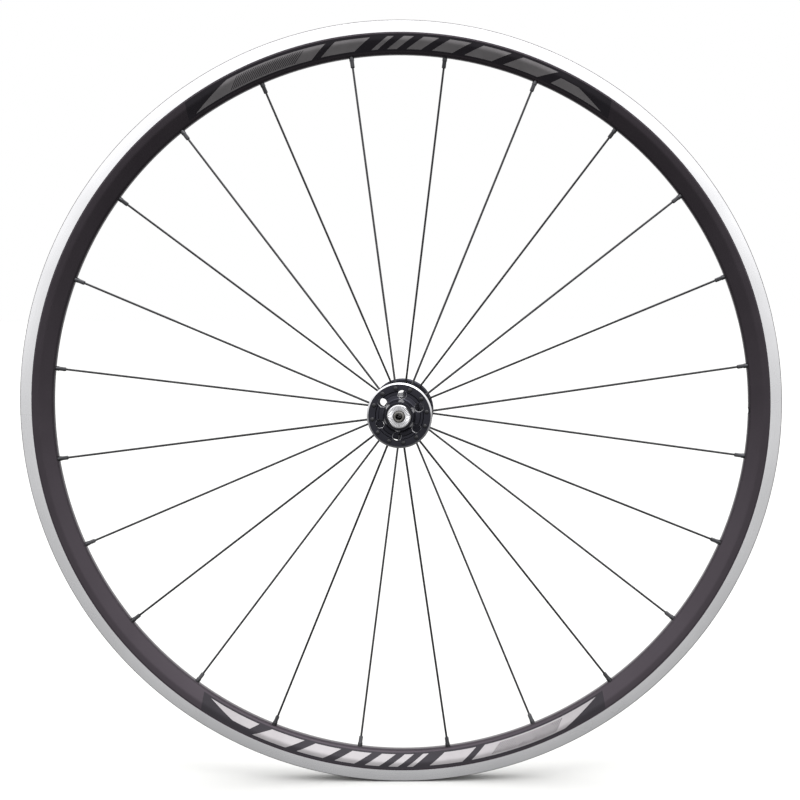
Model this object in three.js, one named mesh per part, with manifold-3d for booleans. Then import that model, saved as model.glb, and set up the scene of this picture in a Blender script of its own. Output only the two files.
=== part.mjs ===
// Front wheel of a road bicycle: double-wall rim, 24 radial spokes, large-flange hub, hollow axle.
// Millimetres. The wheel's centre is the origin, it turns about Y, and +Z is up. The bicycle faces +X,
// so its right side is -Y.
import * as THREE from "three";
import { mergeVertices } from "three/addons/utils/BufferGeometryUtils.js";
import Module from "manifold-3d";

const wasm = await Module();
wasm.setup();

// Rim
const BEAD_SEAT_DIAMETER = 622;
const RIM_FLANGE_HEIGHT = 6; // above the bead seat
const RIM_WIDTH = 21.5;
const RIM_DEPTH = 25.8; // outer edge to spoke face
const TRACK_HEIGHT = 9.9;
const TRACK_WALL = 1.6;
const BEAD_HOOK = 0.9; // how far the hook stands in from the track wall
const WELL_DEPTH = 3.8; // below the bead seat
const WELL_WIDTH = 9.4;
const TYRE_BED = 1.4;
const SIDE_WALL = 1.4; // measured along the axle
const SPOKE_BED = 3.2;
const SPOKE_FACE_WIDTH = 4.4;
const FOOT_RISE = 1.4; // chamfer between the spoke face and the slanted side wall
const SHOULDER_DEPTH = 5.5; // from the brake track down to where the side wall starts to slant
const SHOULDER_DROP = 1.15; // how far the shoulder stands in from the track
const VALVE_HOLE = 6.5;
const SLEEVE_MARGIN = 5; // between the joint sleeve's end and the nearest spoke's line
const SLEEVE_WALL = 1.6;

// Spokes and nipples
const SPOKE_PAIRS = 12; // one spoke to the right flange and one to the left
const FIRST_SPOKE_ANGLE = 7.5; // degrees from +X towards +Z
const SPOKE_DIAMETER = 1.8;
const ELBOW_RADIUS = 2; // of the centre line
const SPOKE_HEAD_DIAMETER = 3.8;
const SPOKE_HEAD_HEIGHT = 1.3;
const NIPPLE_LENGTH = 14;
const NIPPLE_DIAMETER = 4;
const NIPPLE_FLATS = 3.3;
const NIPPLE_FLATS_LENGTH = 5.5;
const NIPPLE_HEAD_DIAMETER = 6;
const NIPPLE_HEAD_HEIGHT = 2.4;
const NIPPLE_STAGGER = 0.7; // off the rim's middle plane, towards the spoke's own flange
const SEAT_MARGIN = 0.2; // between a nipple's head and the side wall's foot

// Hub shell
const FLANGE_INSET = 14; // from a locknut's face in to the flange's middle
const FLANGE_THICKNESS = 3;
const FLANGE_BEVEL = 1.3;
const FLANGE_BEVEL_DEPTH = 0.8;
const SPOKE_CIRCLE = 44.6; // diameter through the spoke holes
const FLANGE_MARGIN = 4.4; // from the spoke circle out to the flange's edge
const BAND_MARGIN = 2.5; // from the spoke circle in to the recess
const RECESS_WIDTH = 2.6;
const RECESS_DEPTH = 0.8;
const LIGHTENING_HOLES = 6;
const LIGHTENING_HOLE = 7;
const RIGHT_LIGHTENING_ANGLE = 22.5;
const LEFT_LIGHTENING_ANGLE = 37.5;
const BARREL_DIAMETER = 25;
const BARREL_CLEARANCE = 2.35; // round the axle
const BOSS_WALL = 1; // round the cup, at the boss's mouth
const BOSS_GAP = 0.1; // from the boss's end to the locknut's back

// Axle and bearings
const LOCKNUT_SPAN = 100; // over the locknuts, the fork's standard
const AXLE_END = 4; // past a locknut's face, into the fork end
const AXLE_DIAMETER = 9;
const AXLE_BORE = 5;
const LOCKNUT_DIAMETER = 19;
const LOCKNUT_FLAT_DEPTH = 1;
const LOCKNUT_THICKNESS = 2.9;
const LOCKNUT_FLATS_ANGLE = 30;
const CONE_WALL = 0.75; // at the bottom of its race
const CONE_BODY_WALL = 2.85;
const CONE_FLAT_DEPTH = 1;
const CONE_FLATS_LENGTH = 2.6;
const BALL_DIAMETER = 4.762;
const BALLS = 9;
const BALL_INSET = 7.4; // from the boss's end in to the ball centres
const RETAINER_THICKNESS = 1;
const DUST_CAP_THICKNESS = 1.4;
const DUST_CAP_INSET = 0.4;

// Clearances
const GAP = 0.3; // between pieces that touch or run past each other
const THREAD_GAP = 0.15; // between a screwed piece and its thread
const NIPPLE_THREAD_GAP = 0.25;
const RACE_GAP = 0.22; // between a ball and its race
const NIPPLE_HOLE_GAP = 0.35;
const SPOKE_HOLE_GAP = 0.3;
const ELBOW_GAP = 0.4; // from the flange's inner face out to where the elbow starts
const DRIVER_GAP = 1.3; // round a nipple's head in the tyre bed

// Facets
const RIM_SEGMENTS = 60;
const HUB_SEGMENTS = 32;
const SMALL_SEGMENTS = 24;
const HOLE_SIDES = 8;
const WIDE_HOLE_SIDES = 10;
const SPOKE_SIDES = 6;
const ELBOW_STEPS = 3;

// Worked out from the dimensions above
const beadRadius = BEAD_SEAT_DIAMETER / 2;
const rimRadius = beadRadius + RIM_FLANGE_HEIGHT;
const rimInside = rimRadius - RIM_DEPTH;
const trackInside = rimRadius - TRACK_HEIGHT;
const wellRadius = beadRadius - WELL_DEPTH;
const spokeSeat = rimInside + SPOKE_BED;
const halfRim = RIM_WIDTH / 2;
const seatWidth = NIPPLE_HEAD_DIAMETER / 2 + NIPPLE_STAGGER + SEAT_MARGIN; // of half the spoke bed
const shoulder = { r: trackInside - SHOULDER_DEPTH, y: halfRim - SHOULDER_DROP };
const wallSlope = (shoulder.y - SIDE_WALL - seatWidth) / (shoulder.r - spokeSeat);
const foot = { r: rimInside + FOOT_RISE, y: seatWidth + SIDE_WALL - (SPOKE_BED - FOOT_RISE) * wallSlope };
const locknutFace = LOCKNUT_SPAN / 2;
const locknutBack = locknutFace - LOCKNUT_THICKNESS;
const coneEnd = locknutBack - GAP;
const bossEnd = locknutBack - BOSS_GAP;
const ballPosition = bossEnd - BALL_INSET; // of the ball centres from the wheel's middle plane
const flangeInner = locknutFace - FLANGE_INSET - FLANGE_THICKNESS / 2;
const flangeOuter = flangeInner + FLANGE_THICKNESS;
const spokeHoleRadius = SPOKE_CIRCLE / 2;
const flangeRadius = spokeHoleRadius + FLANGE_MARGIN;
const bandRadius = spokeHoleRadius - BAND_MARGIN;
const recessRadius = bandRadius - RECESS_WIDTH;
const axleHole = AXLE_DIAMETER / 2 + THREAD_GAP;
const coneRadius = axleHole + CONE_BODY_WALL;
const raceRadius = BALL_DIAMETER / 2 + RACE_GAP;
const ballRadius = axleHole + CONE_WALL + raceRadius; // of the circle of ball centres
const cupRadius = ballRadius + raceRadius;
const mouthRadius = cupRadius + BOSS_WALL;

const RIGHT = { name: "right", side: -1, spokeAngle: 0, holeAngle: RIGHT_LIGHTENING_ANGLE };
const LEFT = { name: "left", side: 1, spokeAngle: 180 / SPOKE_PAIRS, holeAngle: LEFT_LIGHTENING_ANGLE };

const alloyBlack = finish(0x2b2629, 0.4, 0.6);
const steelBlack = finish(0x2a2a2c, 0.45, 0.8);
const nippleGrey = finish(0x3a3a3d, 0.4, 0.8);
const steelBright = finish(0xc9cac8, 0.35, 0.9);
const steelDark = finish(0x6d6c6a, 0.4, 0.9);

function finish(color, roughness, metalness) {
  return new THREE.MeshStandardMaterial({ color, roughness, metalness });
}

const radians = THREE.MathUtils.degToRad;

// Turns a closed geometry into a manifold solid.
function solid(geometry, matrix = new THREE.Matrix4()) {
  const bare = geometry.clone().deleteAttribute("normal").deleteAttribute("uv").applyMatrix4(matrix);
  const merged = mergeVertices(bare, 1e-4);
  return new wasm.Manifold(
    new wasm.Mesh({
      numProp: 3,
      vertProperties: merged.attributes.position.array,
      triVerts: new Uint32Array(merged.index.array),
    }),
  );
}

function meshOf(name, manifold, material) {
  const { vertProperties, triVerts } = manifold.getMesh();
  const geometry = new THREE.BufferGeometry();
  geometry.setAttribute("position", new THREE.BufferAttribute(vertProperties, 3));
  geometry.setIndex(new THREE.BufferAttribute(triVerts, 1));
  geometry.computeVertexNormals();
  const mesh = new THREE.Mesh(geometry, material);
  mesh.name = name;
  return mesh;
}

// A closed profile of [radius, axial] points, counter-clockwise with the radius to the right, turned about Y.
// Segments start on +Z, so a count that divides by four puts a corner on each axis.
function turned(points, segments) {
  const profile = [...points, points[0]].map(([r, y]) => new THREE.Vector2(r, y));
  return solid(new THREE.LatheGeometry(profile, segments));
}

// Mirrors an outline's y >= 0 half, listed from the middle plane round to the middle plane.
function bothSides(half) {
  const other = half.filter(([, y]) => y > 0).map(([r, y]) => [r, -y]);
  return [...half, ...other.reverse()];
}

// A cylinder from one point to another, for drilling.
function drill(from, to, diameter, sides = HOLE_SIDES) {
  const length = from.distanceTo(to);
  const along = to.clone().sub(from).normalize();
  const turn = new THREE.Quaternion().setFromUnitVectors(new THREE.Vector3(0, 1, 0), along);
  const middle = from.clone().lerp(to, 0.5);
  const flatRadius = diameter / 2 / Math.cos(Math.PI / sides); // the flats keep the full bore
  return solid(
    new THREE.CylinderGeometry(flatRadius, flatRadius, length, sides),
    new THREE.Matrix4().compose(middle, turn, new THREE.Vector3(1, 1, 1)),
  );
}

function box(low, high) {
  const size = high.map((value, i) => value - low[i]);
  const middle = high.map((value, i) => (value + low[i]) / 2);
  return solid(new THREE.BoxGeometry(...size), new THREE.Matrix4().makeTranslation(...middle));
}

// Cuts two flats, each a stated radius from the axis, between y = low and y = high.
function withFlats(body, radius, low, high, angle) {
  const size = 8 * radius;
  return [0, 180].reduce((rest, half) => {
    const turn = new THREE.Matrix4().makeRotationY(-radians(angle + half));
    const slab = new THREE.BoxGeometry(size, high - low, size);
    slab.translate(radius + size / 2, (low + high) / 2, 0);
    return rest.subtract(solid(slab, turn));
  }, body);
}

// A spoke lies in the plane through the wheel's axis at its own angle. In that plane, x is the radius and
// y is the distance from the rim's middle plane towards the spoke's flange.
const elbowCentre = new THREE.Vector2(spokeHoleRadius + ELBOW_RADIUS, flangeInner + ELBOW_GAP);
const nippleSeat = new THREE.Vector2(spokeSeat, NIPPLE_STAGGER);
const spokeTilt = tangentTilt(elbowCentre, ELBOW_RADIUS, nippleSeat);
const spokeDirection = new THREE.Vector2(Math.cos(spokeTilt), -Math.sin(spokeTilt));
const spokeStart = elbowCentre
  .clone()
  .add(new THREE.Vector2(-Math.sin(spokeTilt), -Math.cos(spokeTilt)).multiplyScalar(ELBOW_RADIUS));

// The tilt of the line that leaves a circle on its lower side and reaches a point.
function tangentTilt(centre, radius, point) {
  const reach = point.clone().sub(centre);
  return Math.atan2(-reach.y, reach.x) - Math.asin(radius / reach.length());
}

// A point on the spoke's straight line, a stated distance past the nipple's seat.
function pastSeat(distance) {
  return nippleSeat.clone().addScaledVector(spokeDirection, distance);
}

function spokeAngles(end) {
  return Array.from(
    { length: SPOKE_PAIRS },
    (_, i) => FIRST_SPOKE_ANGLE + end.spokeAngle + (i * 360) / SPOKE_PAIRS,
  );
}

// From a spoke's plane to the wheel's frame.
function inWheel({ x, y }, end, angle) {
  const a = radians(angle);
  return new THREE.Vector3(x * Math.cos(a), end.side * y, x * Math.sin(a));
}

// Outline of the rim's section, from the middle of the tyre well round the outside to the spoke face.
function rimOutline() {
  const channel = halfRim - TRACK_WALL;
  const hook = channel - BEAD_HOOK;
  return bothSides([
    [wellRadius, 0],
    [wellRadius, WELL_WIDTH / 2],
    [beadRadius, channel],
    [rimRadius - 3, channel],
    [rimRadius - 2, hook],
    [rimRadius, hook],
    [rimRadius, halfRim - 0.6],
    [rimRadius - 0.6, halfRim],
    [trackInside, halfRim],
    [shoulder.r, shoulder.y],
    [foot.r, foot.y],
    [rimInside, SPOKE_FACE_WIDTH / 2],
    [rimInside, 0],
  ]);
}

// The hollow between the spoke bed, the side walls and the tyre bed, drawn in by a stated gap.
function chamberOutline(gap) {
  const top = wellRadius - TYRE_BED - gap;
  const bottom = spokeSeat + gap;
  const inset = gap * Math.hypot(1, wallSlope);
  return bothSides([
    [top, 0],
    [top, halfRim - 0.4 - SIDE_WALL - gap],
    [shoulder.r, shoulder.y - SIDE_WALL - inset],
    [bottom, seatWidth + gap * wallSlope - inset],
    [bottom, 0],
  ]);
}

function spokeHoles(end) {
  const bedHole = NIPPLE_DIAMETER + 2 * NIPPLE_HOLE_GAP;
  const accessHole = NIPPLE_HEAD_DIAMETER + 2 * DRIVER_GAP;
  const middle = (spokeSeat + wellRadius) / 2 - nippleSeat.x;
  return spokeAngles(end).flatMap((angle) => {
    const at = (distance) => inWheel(pastSeat(distance), end, angle);
    return [
      drill(at(-2 * SPOKE_BED - NIPPLE_LENGTH), at(middle), bedHole),
      drill(at(middle), at(RIM_DEPTH), accessHole),
    ];
  });
}

function valveHole() {
  const from = new THREE.Vector3(rimInside - RIM_DEPTH, 0, 0);
  const to = new THREE.Vector3(rimRadius + RIM_DEPTH, 0, 0);
  return drill(from, to, VALVE_HOLE, WIDE_HOLE_SIDES);
}

function rim() {
  const body = turned(rimOutline(), RIM_SEGMENTS);
  const hollow = turned(chamberOutline(0), RIM_SEGMENTS);
  const cuts = [hollow, ...spokeHoles(RIGHT), ...spokeHoles(LEFT), valveHole()];
  return meshOf("rim", cuts.reduce((rest, cut) => rest.subtract(cut), body), alloyBlack);
}

// A hollow sleeve that bridges the rim's joint, opposite the valve.
function rimJointSleeve() {
  const outside = turned(chamberOutline(GAP), RIM_SEGMENTS);
  const inside = turned(chamberOutline(GAP + SLEEVE_WALL), RIM_SEGMENTS);
  const half = rimInside * Math.sin(radians(FIRST_SPOKE_ANGLE)) - SLEEVE_MARGIN;
  const stretch = box([-rimRadius - 1, -halfRim, -half], [0, halfRim, half]);
  return meshOf("rim_joint_sleeve", outside.subtract(inside).intersect(stretch), steelBright);
}

// The centre line of a spoke: straight to the elbow, round it, and out through the flange. Its stations
// are chosen, because the elbow is a hundredth of the length.
class SpokeLine extends THREE.Curve {
  constructor(end, angle) {
    super();
    this.stations = spokeStations().map((point) => inWheel(point, end, angle));
  }
  getPoint(t) {
    const place = t * (this.stations.length - 1);
    const i = Math.min(Math.floor(place), this.stations.length - 2);
    return this.stations[i].clone().lerp(this.stations[i + 1], place - i);
  }
  getPointAt(u) {
    return this.getPoint(u);
  }
  // At a station, the direction halfway between the stretches that meet there.
  getTangentAt(u) {
    const i = Math.round(u * (this.stations.length - 1));
    const from = this.stations[Math.max(i - 1, 0)];
    const to = this.stations[Math.min(i + 1, this.stations.length - 1)];
    const here = this.stations[i];
    const before = here.clone().sub(from).normalize();
    const after = to.clone().sub(here).normalize();
    return before.add(after).normalize();
  }
}

function spokeStations() {
  const inNipple = pastSeat(NIPPLE_HEAD_HEIGHT - 1);
  const bend = Math.PI / 2 - spokeTilt;
  const arc = Array.from({ length: ELBOW_STEPS + 1 }, (_, i) => {
    const turn = bend * (1 - i / ELBOW_STEPS);
    const spoke = new THREE.Vector2(-Math.cos(turn), -Math.sin(turn));
    return elbowCentre.clone().addScaledVector(spoke, ELBOW_RADIUS);
  });
  const throughFlange = new THREE.Vector2(spokeHoleRadius, flangeOuter + GAP + SPOKE_HEAD_HEIGHT / 2);
  return [inNipple, ...arc, throughFlange];
}

function spokeShaft(end, angle) {
  const line = new SpokeLine(end, angle);
  const section = new THREE.Shape().setFromPoints(
    Array.from({ length: SPOKE_SIDES }, (_, i) => {
      const a = (i * 2 * Math.PI) / SPOKE_SIDES;
      return new THREE.Vector2(Math.cos(a), Math.sin(a)).multiplyScalar(SPOKE_DIAMETER / 2);
    }),
  );
  return solid(
    new THREE.ExtrudeGeometry(section, { extrudePath: line, steps: line.stations.length - 1 }),
  );
}

function spokeHead(end, angle) {
  const radius = SPOKE_HEAD_DIAMETER / 2;
  const profile = [
    [0, 0],
    [radius, 0],
    [radius * 0.85, SPOKE_HEAD_HEIGHT * 0.7],
    [0, SPOKE_HEAD_HEIGHT],
  ].map(([r, y]) => new THREE.Vector2(r, y));
  const seat = inWheel({ x: spokeHoleRadius, y: flangeOuter + GAP }, end, angle);
  const outwards = end === RIGHT ? Math.PI : 0;
  const turn = new THREE.Matrix4().makeRotationX(outwards).setPosition(seat);
  return solid(new THREE.LatheGeometry(profile, HOLE_SIDES), turn);
}

function spoke(name, end, angle) {
  return meshOf(name, spokeShaft(end, angle).add(spokeHead(end, angle)), steelBlack);
}

// A nipple along Y, its head's seat at the origin and its head towards +Y.
function nippleBlank() {
  const bore = SPOKE_DIAMETER / 2 + NIPPLE_THREAD_GAP;
  const radius = NIPPLE_DIAMETER / 2;
  const headRadius = NIPPLE_HEAD_DIAMETER / 2;
  const tail = NIPPLE_HEAD_HEIGHT - NIPPLE_LENGTH;
  const body = turned(
    [
      [bore, tail],
      [radius, tail],
      [radius, 0],
      [headRadius, 0.8],
      [headRadius, NIPPLE_HEAD_HEIGHT],
      [bore, NIPPLE_HEAD_HEIGHT],
    ],
    HOLE_SIDES,
  );
  const flatsEnd = tail + NIPPLE_FLATS_LENGTH;
  const twoFlats = withFlats(body, NIPPLE_FLATS / 2, tail - 1, flatsEnd, 0);
  return withFlats(twoFlats, NIPPLE_FLATS / 2, tail - 1, flatsEnd, 90);
}

function nipple(name, end, angle) {
  const from = inWheel(pastSeat(GAP), end, angle);
  const along = inWheel(pastSeat(GAP + 1), end, angle).sub(from);
  const turn = new THREE.Matrix4().makeBasis(
    new THREE.Vector3(-Math.sin(radians(angle)), 0, Math.cos(radians(angle))),
    along,
    new THREE.Vector3(-Math.sin(radians(angle)), 0, Math.cos(radians(angle))).cross(along),
  );
  return meshOf(name, nippleBlank().transform(turn.setPosition(from).elements), nippleGrey);
}

// Outline of the hub shell, from the middle of the barrel round its outside, and back along the bore.
function hubOutline() {
  const barrel = BARREL_DIAMETER / 2;
  const bore = axleHole + BARREL_CLEARANCE;
  const recess = flangeOuter - RECESS_DEPTH;
  const race = 0.7 * raceRadius;
  const bossRadius = (share) => mouthRadius + share * (recessRadius - mouthRadius);
  return bothSides([
    [barrel, 0],
    [barrel, flangeInner - 12],
    [barrel + 2, flangeInner - 3],
    [recessRadius, flangeInner],
    [flangeRadius - FLANGE_BEVEL, flangeInner],
    [flangeRadius, flangeInner + FLANGE_BEVEL_DEPTH],
    [flangeRadius, flangeOuter - FLANGE_BEVEL_DEPTH],
    [flangeRadius - FLANGE_BEVEL, flangeOuter],
    [bandRadius, flangeOuter],
    [bandRadius - 0.6, recess],
    [recessRadius + 0.4, recess],
    [bossRadius(0.57), flangeOuter + 0.6],
    [bossRadius(0.4), flangeOuter + 1.8],
    [bossRadius(0.07), bossEnd - 2.4],
    [mouthRadius, bossEnd],
    [cupRadius, bossEnd],
    [cupRadius, ballPosition],
    [ballRadius + race, ballPosition - race],
    [ballRadius, ballPosition - raceRadius],
    [bore, ballPosition - raceRadius],
    [bore, 0],
  ]);
}

// Holes through one flange, parallel to the axle.
function flangeHoles(end, angles, radius, diameter, sides) {
  return angles.map((angle) =>
    drill(
      inWheel({ x: radius, y: flangeInner - FLANGE_THICKNESS }, end, angle),
      inWheel({ x: radius, y: flangeOuter + FLANGE_THICKNESS }, end, angle),
      diameter,
      sides,
    ),
  );
}

function lighteningAngles(end) {
  return Array.from({ length: LIGHTENING_HOLES }, (_, i) => end.holeAngle + (i * 360) / LIGHTENING_HOLES);
}

function hubShell() {
  const spokeHole = SPOKE_DIAMETER + 2 * SPOKE_HOLE_GAP;
  const cuts = [RIGHT, LEFT].flatMap((end) => [
    ...flangeHoles(end, spokeAngles(end), spokeHoleRadius, spokeHole, HOLE_SIDES),
    ...flangeHoles(end, lighteningAngles(end), recessRadius, LIGHTENING_HOLE, WIDE_HOLE_SIDES),
  ]);
  const body = turned(hubOutline(), HUB_SEGMENTS);
  return meshOf("hub_shell", cuts.reduce((rest, cut) => rest.subtract(cut), body), alloyBlack);
}

function axle() {
  const radius = AXLE_DIAMETER / 2;
  const half = locknutFace + AXLE_END;
  const profile = bothSides([
    [radius, 0],
    [radius, half - 0.5],
    [radius - 0.5, half],
    [AXLE_BORE / 2, half],
    [AXLE_BORE / 2, 0],
  ]);
  return meshOf("axle", turned(profile, SMALL_SEGMENTS), steelDark);
}

// Pieces of one end are drawn on the +Y side and mirrored for the right end.
function placed(name, body, end, material) {
  const mirrored = end === RIGHT ? body.mirror([0, 1, 0]) : body;
  return meshOf(`${name}_${end.name}`, mirrored, material);
}

function cone(end) {
  const race = 0.7 * raceRadius;
  const body = turned(
    [
      [axleHole, ballPosition - 1.2],
      [ballRadius - raceRadius, ballPosition - 1.2],
      [ballRadius - raceRadius, ballPosition],
      [ballRadius - race, ballPosition + race],
      [coneRadius, ballPosition + raceRadius],
      [coneRadius, coneEnd],
      [axleHole, coneEnd],
    ],
    SMALL_SEGMENTS,
  );
  const flatsFrom = coneEnd - CONE_FLATS_LENGTH;
  const flats = withFlats(body, coneRadius - CONE_FLAT_DEPTH, flatsFrom, coneEnd + 1, 0);
  return placed("cone", flats, end, steelDark);
}

function locknut(end) {
  const radius = LOCKNUT_DIAMETER / 2;
  const body = turned(
    [
      [axleHole, locknutBack],
      [radius, locknutBack],
      [radius, locknutFace - 0.5],
      [radius - 0.5, locknutFace],
      [axleHole, locknutFace],
    ],
    HUB_SEGMENTS,
  );
  const depth = radius - LOCKNUT_FLAT_DEPTH;
  const flats = withFlats(body, depth, locknutBack - 1, locknutFace + 1, LOCKNUT_FLATS_ANGLE);
  return placed("locknut", flats, end, steelBright);
}

// Nine balls on a retainer ring that lies outboard of them, between the cup and the cone.
function ballCage(end) {
  const low = ballPosition + 1.1;
  const ring = turned(
    [
      [ballRadius + 0.9, low],
      [cupRadius - GAP, low],
      [cupRadius - GAP, low + RETAINER_THICKNESS],
      [ballRadius + 0.9, low + RETAINER_THICKNESS],
    ],
    SMALL_SEGMENTS,
  );
  const cage = Array.from({ length: BALLS }, (_, i) => (i * 360) / BALLS).reduce((whole, angle) => {
    const centre = inWheel({ x: ballRadius, y: ballPosition }, LEFT, angle);
    const ball = new THREE.SphereGeometry(BALL_DIAMETER / 2, 8, 5);
    return whole.add(solid(ball, new THREE.Matrix4().setPosition(centre)));
  }, ring);
  return placed("ball_cage", cage, end, steelBright);
}

function dustCap(end) {
  const inner = coneRadius + GAP;
  const outer = cupRadius - THREAD_GAP;
  const top = bossEnd - DUST_CAP_INSET;
  const lip = top - DUST_CAP_THICKNESS;
  const profile = [
    [inner, lip + 0.4],
    [outer, lip - 1],
    [outer, top],
    [inner, top],
  ];
  return placed("dust_cap", turned(profile, HUB_SEGMENTS), end, steelDark);
}

const wheel = new THREE.Group();
wheel.add(rim(), rimJointSleeve(), hubShell(), axle());
for (const end of [RIGHT, LEFT]) {
  wheel.add(cone(end), locknut(end), ballCage(end), dustCap(end));
  spokeAngles(end).forEach((angle, i) => {
    const number = String(2 * i + (end === RIGHT ? 1 : 2)).padStart(2, "0");
    wheel.add(spoke(`spoke_${number}`, end, angle), nipple(`nipple_${number}`, end, angle));
  });
}

export default wheel;
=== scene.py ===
import math

import bmesh
import bpy
from mathutils import Matrix, Vector


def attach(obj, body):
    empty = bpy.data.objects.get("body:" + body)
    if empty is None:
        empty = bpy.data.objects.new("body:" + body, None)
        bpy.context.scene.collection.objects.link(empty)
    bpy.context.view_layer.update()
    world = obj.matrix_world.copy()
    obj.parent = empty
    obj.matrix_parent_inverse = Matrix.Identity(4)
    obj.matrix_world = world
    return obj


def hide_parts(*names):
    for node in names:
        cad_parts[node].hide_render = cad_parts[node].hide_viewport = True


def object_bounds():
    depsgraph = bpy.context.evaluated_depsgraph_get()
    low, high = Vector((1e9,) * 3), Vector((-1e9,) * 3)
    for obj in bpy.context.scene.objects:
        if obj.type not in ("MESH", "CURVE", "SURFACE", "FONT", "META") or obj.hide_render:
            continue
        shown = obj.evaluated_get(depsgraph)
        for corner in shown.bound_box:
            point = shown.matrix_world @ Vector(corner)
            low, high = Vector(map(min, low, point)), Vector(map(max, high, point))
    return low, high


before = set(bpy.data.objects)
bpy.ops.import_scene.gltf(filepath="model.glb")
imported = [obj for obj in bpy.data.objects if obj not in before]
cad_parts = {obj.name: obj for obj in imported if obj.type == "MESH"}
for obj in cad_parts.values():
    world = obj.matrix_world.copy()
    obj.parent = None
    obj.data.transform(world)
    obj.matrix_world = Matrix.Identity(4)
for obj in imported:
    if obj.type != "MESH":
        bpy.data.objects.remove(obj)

cadBox = [list(corner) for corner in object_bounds()]
print("frame loaded")

# Lengths are in millimetres and angles in degrees. Angles go round the axle from +X towards +Z.
# "Across" is the distance from the wheel's middle plane, and the right side of the wheel is -Y.
mm = 0.001
right, left = -1, 1
sideNames = {right: "right", left: "left"}


# finishes

def hexColour(code):
    channels = [int(code[i:i + 2], 16) / 255 for i in (1, 3, 5)]
    return [c / 12.92 if c <= 0.04045 else ((c + 0.055) / 1.055) ** 2.4 for c in channels] + [1]


def addNode(tree, kind, sockets={}, **settings):
    node = tree.nodes.new(kind)
    for name, value in settings.items():
        setattr(node, name, value)
    for name, value in sockets.items():
        if isinstance(value, bpy.types.NodeSocket):
            tree.links.new(value, node.inputs[name])
        else:
            node.inputs[name].default_value = value
    return node


def newFinish(name, **values):
    material = bpy.data.materials.new(name)
    material.use_nodes = True
    shader = material.node_tree.nodes["Principled BSDF"]
    for socket, value in values.items():
        shader.inputs[socket.replace("_", " ")].default_value = value
    return material, material.node_tree, shader


def dress(tree, shader, tint, colours, wear, roughness, height, depth):
    # tint picks the colour and wear the roughness; height lifts the surface by up to depth
    colour = addNode(tree, "ShaderNodeMix", {0: tint, 6: hexColour(colours[0]), 7: hexColour(colours[1])},
                     data_type="RGBA")
    rough = addNode(tree, "ShaderNodeMapRange",
                    {"Value": wear, "To Min": roughness[0], "To Max": roughness[1]})
    bump = addNode(tree, "ShaderNodeBump", {"Height": height, "Distance": depth * mm})
    tree.links.new(colour.outputs[2], shader.inputs["Base Color"])
    tree.links.new(rough.outputs[0], shader.inputs["Roughness"])
    tree.links.new(bump.outputs[0], shader.inputs["Normal"])


def anodisedAluminium(name, low, high, gloss):
    # dyed oxide over bead-blasted metal: dark, with a half-millimetre grain and duller handled patches
    material, tree, shader = newFinish(name, Metallic=0.9)
    place = addNode(tree, "ShaderNodeTexCoord").outputs["Object"]
    grain = addNode(tree, "ShaderNodeTexNoise", {"Vector": place, "Scale": 1 / (0.5 * mm), "Detail": 3.0})
    patch = addNode(tree, "ShaderNodeTexNoise", {"Vector": place, "Scale": 1 / (28 * mm), "Detail": 4.0})
    dress(tree, shader, patch.outputs[0], (low, high), patch.outputs[0], (gloss - 0.05, gloss + 0.09),
          grain.outputs[0], depth=0.012)
    return material


def turnedAluminium(name, colour, worn, gloss, pitch, depth, seam=None):
    # bare metal with the lathe's fine rings, drawn coarser than they are so that they show
    material, tree, shader = newFinish(name, Metallic=1.0)
    place = addNode(tree, "ShaderNodeTexCoord").outputs["Object"]
    flat = addNode(tree, "ShaderNodeVectorMath", {0: place, 1: (1, 0, 1)}, operation="MULTIPLY")
    radius = addNode(tree, "ShaderNodeVectorMath", {0: flat.outputs[0]}, operation="LENGTH")
    ring = addNode(tree, "ShaderNodeCombineXYZ", {"X": radius.outputs["Value"]})
    rings = addNode(tree, "ShaderNodeTexNoise",
                    {"Vector": ring.outputs[0], "Scale": 1 / (pitch * mm), "Detail": 2.0})
    smudge = addNode(tree, "ShaderNodeTexNoise", {"Vector": place, "Scale": 1 / (60 * mm), "Detail": 3.0})
    mixed = addNode(tree, "ShaderNodeMath", {0: rings.outputs[0], 1: smudge.outputs[0]}, operation="MULTIPLY")
    lift = 2.6  # two patterns multiplied come out dark, and this brings them back to the middle
    level = addNode(tree, "ShaderNodeMath", {0: mixed.outputs[0], 1: lift}, operation="MULTIPLY")
    if seam:  # the butt joint of the hoop is a hairline across the track, on the side away from the valve
        apart = addNode(tree, "ShaderNodeSeparateXYZ", {"Vector": place})
        off = addNode(tree, "ShaderNodeMath", {0: apart.outputs["Z"]}, operation="ABSOLUTE")
        beside = addNode(tree, "ShaderNodeMath", {0: off.outputs[0], 1: seam * mm}, operation="GREATER_THAN")
        front = addNode(tree, "ShaderNodeMath", {0: apart.outputs["X"], 1: 0.0}, operation="GREATER_THAN")
        clear = addNode(tree, "ShaderNodeMath", {0: beside.outputs[0], 1: front.outputs[0]},
                        operation="MAXIMUM")
        level = addNode(tree, "ShaderNodeMath", {0: level.outputs[0], 1: clear.outputs[0]},
                        operation="MULTIPLY")
    dress(tree, shader, level.outputs[0], (worn, colour), smudge.outputs[0], (gloss + 0.04, gloss - 0.03),
          rings.outputs[0], depth)
    return material


def blackenedSteel(name, low, high, gloss):
    # oxide-blackened wire or turned brass: satin, with slightly paler rubbed streaks
    material, tree, shader = newFinish(name, Metallic=0.85)
    place = addNode(tree, "ShaderNodeTexCoord").outputs["Object"]
    streak = addNode(tree, "ShaderNodeTexNoise", {"Vector": place, "Scale": 1 / (9 * mm), "Detail": 5.0})
    grain = addNode(tree, "ShaderNodeTexNoise", {"Vector": place, "Scale": 1 / (0.4 * mm), "Detail": 2.0})
    dress(tree, shader, streak.outputs[0], (low, high), streak.outputs[0], (gloss + 0.08, gloss - 0.08),
          grain.outputs[0], depth=0.006)
    return material


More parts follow.
